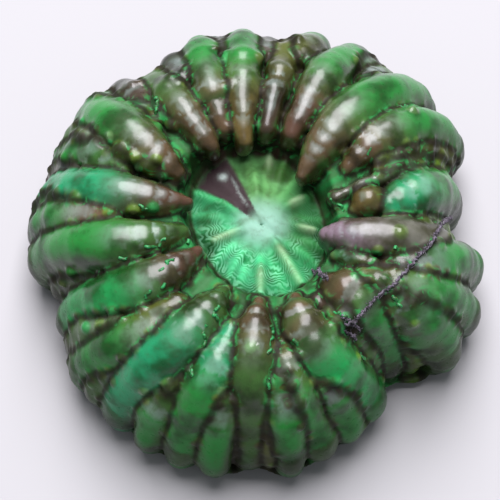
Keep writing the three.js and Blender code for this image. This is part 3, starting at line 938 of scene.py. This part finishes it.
def stretch(tree, value, low, high, to_low=0.0, to_high=1.0):
    """A soft step between low and high, as smooth makes, that runs from to_low to to_high."""
    node = wire(tree, "ShaderNodeMapRange", interpolation_type="SMOOTHSTEP", Value=value, From_Min=low,
                From_Max=high, To_Min=to_low, To_Max=to_high)
    return node.outputs["Result"]


def grain(tree, scale, detail=3.0, distortion=0.0):
    place = wire(tree, "ShaderNodeTexCoord").outputs["Object"]
    node = wire(tree, "ShaderNodeTexNoise", Vector=place, Scale=scale, Detail=detail, Distortion=distortion)
    return node.outputs["Fac"]


def flesh_material():
    material, tree, shader = new_material(
        "wet_flesh", Specular_IOR_Level=GLOSS, Coat_Roughness=COAT_ROUGHNESS, Subsurface_Weight=SEE_THROUGH,
        Subsurface_Scale=SEE_THROUGH_DEPTH, Subsurface_Radius=SEE_THROUGH_TINT,
    )
    fine = grain(tree, FINE_GRAIN, 4)
    crease, disc = layer(tree, "crease"), layer(tree, "disc")
    colour = layer(tree, "tone", "Color")
    patchy = mix(tree, 1.0, colour, PATCH_COLOUR, "MULTIPLY")
    colour = mix(tree, stretch(tree, grain(tree, PATCH_GRAIN, 3), 0.42, 0.68), colour, patchy)
    colour = mix(tree, stretch(tree, fine, 0.5, 0.8, 0, 0.3), colour, SPECKLE)

    ring = maths(tree, "MULTIPLY", layer(tree, "ring"), STRIPES_PER_MM)
    ring = maths(tree, "ADD", ring, maths(tree, "MULTIPLY", grain(tree, STRIPE_GRAIN, 3, 1.0), STRIPE_WANDER))
    stripe = maths(tree, "SINE", ring)
    dark_line = mix(tree, 1.0, colour, DARK_STRIPE, "MULTIPLY")
    light_line = mix(tree, 0.3, colour, LIGHT_STRIPE)
    amount = maths(tree, "MULTIPLY", layer(tree, "stripes"), disc)
    amount = maths(tree, "MULTIPLY", amount, stretch(tree, grain(tree, STRIPE_GRAIN, 2), 0.4, 0.6, 0.1, 0.85))
    colour = mix(tree, amount, colour, mix(tree, stretch(tree, stripe, -1.0, 1.0), dark_line, light_line))
    # The tallest ridges' tops: pale skin and painted highlight.
    colour = mix(tree, maths(tree, "MULTIPLY", layer(tree, "septum"), 0.42), colour, PALE_RIDGE_AND_HIGHLIGHT)
    colour = mix(tree, layer(tree, "dark_sector"), colour, BARE_SKIN)
    colour = mix(tree, layer(tree, "pale_fleck"), colour, FLECK_COLOUR)
    # Painted shade: the creases are darkened towards near-black.
    shade = stretch(tree, crease, 0, 1, 0.85, 0)
    colour = mix(tree, shade, colour, PAINTED_CREASE_SHADE)
    broken = stretch(tree, grain(tree, LACE_GRAIN, 3, 1.2), 0.5, 0.6, 0, 0.75)
    colour = mix(tree, maths(tree, "MULTIPLY", layer(tree, "lace"), broken), colour, LACE_COLOUR)
    feed(tree, shader.inputs["Base Color"], colour)

    inside = maths(tree, "ADD", disc, layer(tree, "valley"))
    rough = stretch(tree, fine, 0.3, 0.8, *ROUGHNESS)
    rough = maths(tree, "ADD", rough, maths(tree, "MULTIPLY", shade, CREASE_ROUGHNESS))
    rough = maths(tree, "ADD", rough, maths(tree, "MULTIPLY", inside, DISC_ROUGHNESS))
    feed(tree, shader.inputs["Roughness"], rough)
    coat = maths(tree, "MULTIPLY", stretch(tree, crease, 0.4, 1, 0, COAT), layer(tree, "upper"))
    coat = maths(tree, "MAXIMUM", maths(tree, "SUBTRACT", coat, inside), 0.0)
    feed(tree, shader.inputs["Coat Weight"], coat)
    relief = maths(tree, "MULTIPLY", maths(tree, "MULTIPLY", stripe, amount), STRIPE_RELIEF)
    relief = maths(tree, "ADD", maths(tree, "MULTIPLY", fine, FINE_RELIEF), relief)
    bump = wire(tree, "ShaderNodeBump", Strength=RELIEF_STRENGTH, Distance=RELIEF_DEPTH, Height=relief)
    feed(tree, shader.inputs["Normal"], bump.outputs["Normal"])
    return material


mesh.materials.append(flesh_material())
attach(polyp, "root")
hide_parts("polyp")

# The bright frills: crumpled edges of the same skin that stand out of the creases between the lobes in short
# curly runs, neon green and about a millimetre wide. They grow on the flesh, so they sit half sunk in it.
# Their sizes are in metres, and their places are bearings and distances in millimetres.
FRILL_STEP = 0.0005
FRILL_RADIUS = 0.00034
FRILL_THICKNESS = (0.45, 1.2)
FRILL_SHAKE = 0.00045
FRILL_SINK = 0.0002
FRILL_GRAIN = 1400
FRILL_DARK = srgb(34, 84, 36)
FRILL_BRIGHT = srgb(34, 142, 76)
DROP_HEIGHT = 0.06
SHORT_STEP = 0.4
FRILLS = [
    [(129, 32.7), (132, 30.7), (134, 29.7)], [(200.5, 28.8), (202.5, 27.5)],
    [(202, 24), (201.5, 23), (202.5, 22)], [(202, 21), (200.5, 19.8)], [(219.8, 27.5), (220.3, 28.7)],
    [(221.5, 24.4), (222, 25.2), (221.6, 26)], [(247, 27), (247.6, 29), (248.5, 30.5)],
    [(248.5, 22.2), (247.3, 24.2), (250.5, 24.8)], [(247.5, 35), (248.7, 36)],
    [(273.7, 24.5), (274.3, 26.3), (273.6, 28.4), (272.7, 29.8)], [(272, 34.6), (271.9, 36)],
    [(283, 28), (284, 29.4)], [(305, 27.6), (304.6, 26.5), (302.8, 25.3)],
    [(304.2, 34.2), (305.4, 32.6)], [(323.2, 29.2), (323.6, 30.8), (322.8, 33)],
    [(341.8, 28), (341, 26.5)], [(13, 13.8), (8, 14.9), (2.5, 16.3)], [(180.5, 21.5), (179, 23.4)],
    [(204, 16), (200, 15.2)], [(216, 23.8), (215, 21.8), (214.4, 20)], [(41, 36), (40, 38)],
    [(30, 24), (31, 25.5)],
]
flesh_tree = BVHTree.FromPolygons([v.co for v in mesh.vertices], [p.vertices for p in mesh.polygons])


def along(places, step):
    """Points every step millimetres along straight runs between places given as bearing and distance."""
    stops = np.array([plan(place) for place in places])
    length = np.concatenate([[0], np.cumsum(np.hypot(*np.diff(stops, axis=0).T))])
    runs = np.linspace(0, length[-1], max(2, round(length[-1] / step) + 1))
    return np.column_stack([np.interp(runs, length, stops[:, k]) for k in range(2)])


def laid_on_flesh(flat, lift):
    """The same points in metres, dropped from above until they touch the flesh, and then raised by lift."""
    landed = []
    for px, py in flat * MM:
        spot, *_ = flesh_tree.ray_cast(Vector((px, py, DROP_HEIGHT)), Vector((0, 0, -1)))
        landed.append((px, py, spot.z + lift))
    return np.array(landed)


def thread_mesh(name, threads):
    """A mesh of bare edges, one open run of them to a thread."""
    edges, first = [], 0
    for thread in threads:
        edges += [(first + k, first + k + 1) for k in range(len(thread) - 1)]
        first += len(thread)
    strung = bpy.data.meshes.new(name)
    strung.from_pydata(np.concatenate(threads), edges, [])
    return strung


def new_tree(name, **sockets):
    """A Geometry Nodes tree with the named inputs, and the outputs of its group input node."""
    tree = bpy.data.node_groups.new(name, "GeometryNodeTree")
    tree.interface.new_socket("Geometry", in_out="OUTPUT", socket_type="NodeSocketGeometry")
    tree.interface.new_socket("Geometry", in_out="INPUT", socket_type="NodeSocketGeometry")
    for socket, kind in sockets.items():
        tree.interface.new_socket(socket, in_out="INPUT", socket_type="NodeSocket" + kind)
    return tree, tree.nodes.new("NodeGroupInput").outputs


def random_number(tree, low, high, seed):
    node = wire(tree, "FunctionNodeRandomValue", data_type="FLOAT")
    for socket, value in ((2, low), (3, high), (8, seed)):
        feed(tree, node.inputs[socket], value)
    return node.outputs[1]


def random_vector(tree, size, seed):
    """A vector whose parts are each within size of nothing."""
    node = wire(tree, "FunctionNodeRandomValue", (-1, -1, -1), (1, 1, 1), data_type="FLOAT_VECTOR")
    feed(tree, node.inputs[8], seed)
    return wire(tree, "ShaderNodeVectorMath", node.outputs[0], operation="SCALE", Scale=size).outputs[0]


def stops_along(tree, threads, step):
    return wire(tree, "GeometryNodeResampleCurve", mode="LENGTH", Curve=threads, Length=step).outputs[0]


def shaken(tree, places, shake, seed):
    """The same points, each moved at random by up to shake along every axis."""
    offset = random_vector(tree, shake, seed)
    return wire(tree, "GeometryNodeSetPosition", Geometry=places, Offset=offset).outputs[0]


def cord(tree, course, radius, sides, thickness):
    """A round closed cord along a curve, its thickness a changing share of the radius."""
    rounded = wire(tree, "GeometryNodeCurvePrimitiveCircle", Resolution=sides, Radius=radius).outputs[0]
    uneven = wire(tree, "GeometryNodeSetCurveRadius", Curve=course, Radius=thickness).outputs[0]
    drawn = wire(tree, "GeometryNodeCurveToMesh", Curve=uneven, Profile_Curve=rounded, Fill_Caps=True)
    return drawn.outputs[0]


def finish_tree(tree, geometry, material):
    real = wire(tree, "GeometryNodeRealizeInstances", Geometry=geometry)
    smoothed = wire(tree, "GeometryNodeSetShadeSmooth", Geometry=real.outputs[0])
    painted = wire(tree, "GeometryNodeSetMaterial", Geometry=smoothed.outputs[0], Material=material)
    wire(tree, "NodeGroupOutput", painted.outputs[0])


def grow(name, carrier, tree, **values):
    """Runs a tree on a mesh and keeps the result as a plain mesh object of its own."""
    bearer = bpy.data.objects.new(name, carrier)
    bpy.context.scene.collection.objects.link(bearer)
    modifier = bearer.modifiers.new(name, "NODES")
    modifier.node_group = tree
    for item in tree.interface.items_tree:
        if item.in_out == "INPUT" and item.name in values:
            modifier[item.identifier] = values[item.name]
    grown = baked(bearer)
    bearer.modifiers.remove(modifier)
    bearer.data = grown
    grown.name = name
    return bearer


def frill_tree():
    """A smooth curly cord of uneven thickness along each thread."""
    tree, given = new_tree("frills", Step="Float", Shake="Float", Radius="Float", Material="Material")
    threads = wire(tree, "GeometryNodeMeshToCurve", Mesh=given["Geometry"]).outputs[0]
    bent = shaken(tree, stops_along(tree, threads, given["Step"]), given["Shake"], 3)
    curled = wire(tree, "GeometryNodeCurveSplineType", spline_type="CATMULL_ROM", Curve=bent).outputs[0]
    eased = wire(tree, "GeometryNodeSetSplineResolution", Geometry=curled, Resolution=5).outputs[0]
    frill = cord(tree, eased, given["Radius"], 8, random_number(tree, *FRILL_THICKNESS, 4))
    finish_tree(tree, frill, given["Material"])
    return tree


def two_tone_material(name, scale, detail, edges, dark, bright, **values):
    """A dull material whose colour wanders between two along a fine grain."""
    material, tree, shader = new_material(name, **values)
    share = stretch(tree, grain(tree, scale, detail), *edges)
    feed(tree, shader.inputs["Base Color"], mix(tree, share, dark, bright))
    return material


frill_flesh = two_tone_material(
    "frill_flesh", FRILL_GRAIN, 2, (0.4, 0.65), FRILL_DARK, FRILL_BRIGHT, Roughness=0.5,
    Subsurface_Weight=0.2, Subsurface_Scale=0.001,
)
frill_runs = [laid_on_flesh(along(run, SHORT_STEP), -FRILL_SINK) for run in FRILLS]
frill_threads = thread_mesh("frill_threads", frill_runs)
frills = grow("frills", frill_threads, frill_tree(), Step=FRILL_STEP, Shake=FRILL_SHAKE, Radius=FRILL_RADIUS,
              Material=frill_flesh)
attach(frills, "root")

# The debris: a loose, fuzzy strand of grey-lilac dirt that lies across the lobes on the right, slack over the
# creases, with a stub at its outer end and tufts where it ends by the disc. Only its own slime holds it.
# Its sizes are in metres, and its places and the reach of its slack are in millimetres.
DEBRIS_STEP = 0.0003
DEBRIS_CORE = 0.00024
DEBRIS_THICKNESS = (0.5, 1.4)
DEBRIS_SHAKE = 0.0003
DEBRIS_FLUFF = 0.0005
DEBRIS_CLOT = (0.00012, 0.0003)
DEBRIS_FIBRE = (0.0006, 0.0015)
DEBRIS_LIFT = 0.0002
DEBRIS_GRAIN = 1100
DEBRIS_DARK = srgb(50, 46, 52)
DEBRIS_PALE = srgb(112, 104, 118)
FIBRE_THICKNESS = 0.00004
SLACK_REACH = 4.5
STRAND_STEP = 0.5
STRAND = [
    (3.5, 37.4), (2, 36.8), (355.7, 34.8), (351.2, 33.9), (347, 33.3), (342.6, 31.8), (337.3, 31.1),
    (330.3, 30.3), (326.4, 29.9), (321.2, 28.9), (316.9, 28.7), (311.9, 28.8), (306.9, 29.3),
    (304, 28.6),
]
TUFTS = [
    [(304, 27.3), (305.5, 28.6), (308.5, 30)],
    [(306, 30.6), (303, 29)],
    [(319.5, 13.4), (315, 15.6), (311.2, 17.1), (310, 19.5)],
]


def slack(points):
    """Raises the points where they dip between lobes, as a thread does that spans from crest to crest."""
    ways = np.hypot(points[:, None, 0] - points[None, :, 0], points[:, None, 1] - points[None, :, 1]) / MM
    ridge = np.where(ways < SLACK_REACH / 2, points[None, :, 2], -1).max(axis=1)
    weight = np.exp(-((ways / SLACK_REACH * 2) ** 2))
    eased = (weight * ridge[None, :]).sum(axis=1) / weight.sum(axis=1)
    return np.column_stack([points[:, :2], np.maximum(points[:, 2], eased)])


def debris_tree():
    """A crumpled core along each thread, with clots and fine fibres all round it."""
    tree, given = new_tree(
        "debris", Step="Float", Core="Float", Shake="Float", Fluff="Float", Thin="Float", Shortest="Float",
        Longest="Float", Smallest="Float", Largest="Float", Material="Material",
    )
    threads = wire(tree, "GeometryNodeMeshToCurve", Mesh=given["Geometry"]).outputs[0]
    stops = stops_along(tree, threads, given["Step"])
    core = cord(tree, shaken(tree, stops, given["Shake"], 21), given["Core"], 6,
                random_number(tree, *DEBRIS_THICKNESS, 22))
    clot = wire(tree, "GeometryNodeMeshIcoSphere", Radius=1.0, Subdivisions=1).outputs[0]
    clots = wire(
        tree, "GeometryNodeInstanceOnPoints", Points=shaken(tree, stops, given["Shake"], 31), Instance=clot,
        Rotation=random_vector(tree, math.pi, 32),
        Scale=random_number(tree, given["Smallest"], given["Largest"], 33),
    )
    fibre = wire(tree, "GeometryNodeMeshCylinder", Vertices=4, Radius=given["Thin"], Depth=1.0).outputs[0]
    reach = random_number(tree, given["Shortest"], given["Longest"], 44)
    fibres = wire(
        tree, "GeometryNodeInstanceOnPoints", Points=shaken(tree, stops, given["Fluff"], 41), Instance=fibre,
        Rotation=random_vector(tree, math.pi, 42),
        Scale=wire(tree, "ShaderNodeCombineXYZ", 1.0, 1.0, reach).outputs[0],
    )
    all_parts = tree.nodes.new("GeometryNodeJoinGeometry")
    for part in (core, clots.outputs[0], fibres.outputs[0]):
        tree.links.new(part, all_parts.inputs[0])
    finish_tree(tree, all_parts.outputs[0], given["Material"])
    return tree


dirt = two_tone_material("debris", DEBRIS_GRAIN, 3, (0.35, 0.65), DEBRIS_DARK, DEBRIS_PALE, Roughness=0.85)
debris_runs = [slack(laid_on_flesh(along(STRAND, STRAND_STEP), DEBRIS_LIFT))]
debris_runs += [laid_on_flesh(along(run, SHORT_STEP), DEBRIS_LIFT) for run in TUFTS]
debris = grow(
    "debris", thread_mesh("debris_threads", debris_runs), debris_tree(), Step=DEBRIS_STEP, Core=DEBRIS_CORE,
    Shake=DEBRIS_SHAKE, Fluff=DEBRIS_FLUFF, Thin=FIBRE_THICKNESS, Shortest=DEBRIS_FIBRE[0],
    Longest=DEBRIS_FIBRE[1], Smallest=DEBRIS_CLOT[0], Largest=DEBRIS_CLOT[1], Material=dirt,
)
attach(debris, "root")

# The floor and the light: a plain pale table, one large soft lamp overhead and a dim even room. They are only
# there to show the coral.
FLOOR_SIZE = 3.0
FLOOR_GAP = 0.0001
FLOOR_COLOUR = (0.42, 0.42, 0.43, 1)
LAMP_WIDTH = 0.7
LAMP_LENGTH = 1.3
LAMP_HEIGHT = 1.06
LAMP_BACK = 0.45
LAMP_POWER = 33
LAMP_COLOUR = (0.99, 0.95, 1.0)
ROOM_COLOUR = (0.9, 0.95, 1.0, 1)
ROOM_LIGHT = 0.3

corners = np.array([(-1, -1), (1, -1), (1, 1), (-1, 1)]) * FLOOR_SIZE / 2
floor_corners = [(*corner, -FLOOR_GAP) for corner in corners]
floor_mesh = bpy.data.meshes.new("floor")
floor_mesh.from_pydata(floor_corners, [], [(0, 1, 2, 3)])
floor_mesh.materials.append(new_material("pale_table", Base_Color=FLOOR_COLOUR, Roughness=0.9)[0])
floor = bpy.data.objects.new("floor", floor_mesh)
bpy.context.scene.collection.objects.link(floor)

lamp_data = bpy.data.lights.new("softbox", "AREA")
lamp_data.shape = "RECTANGLE"
lamp_data.size = LAMP_WIDTH
lamp_data.size_y = LAMP_LENGTH
lamp_data.energy = LAMP_POWER
lamp_data.color = LAMP_COLOUR
lamp = bpy.data.objects.new("softbox", lamp_data)
lamp.location = (0.0, LAMP_BACK, LAMP_HEIGHT)
lamp.rotation_euler = (-lamp.location).to_track_quat("-Z", "Y").to_euler()
bpy.context.scene.collection.objects.link(lamp)

world = bpy.data.worlds.new("room")
world.use_nodes = True
world.node_tree.nodes["Background"].inputs["Color"].default_value = ROOM_COLOUR
world.node_tree.nodes["Background"].inputs["Strength"].default_value = ROOM_LIGHT
bpy.context.scene.world = world
bpy.context.scene.view_settings.view_transform = "Standard"
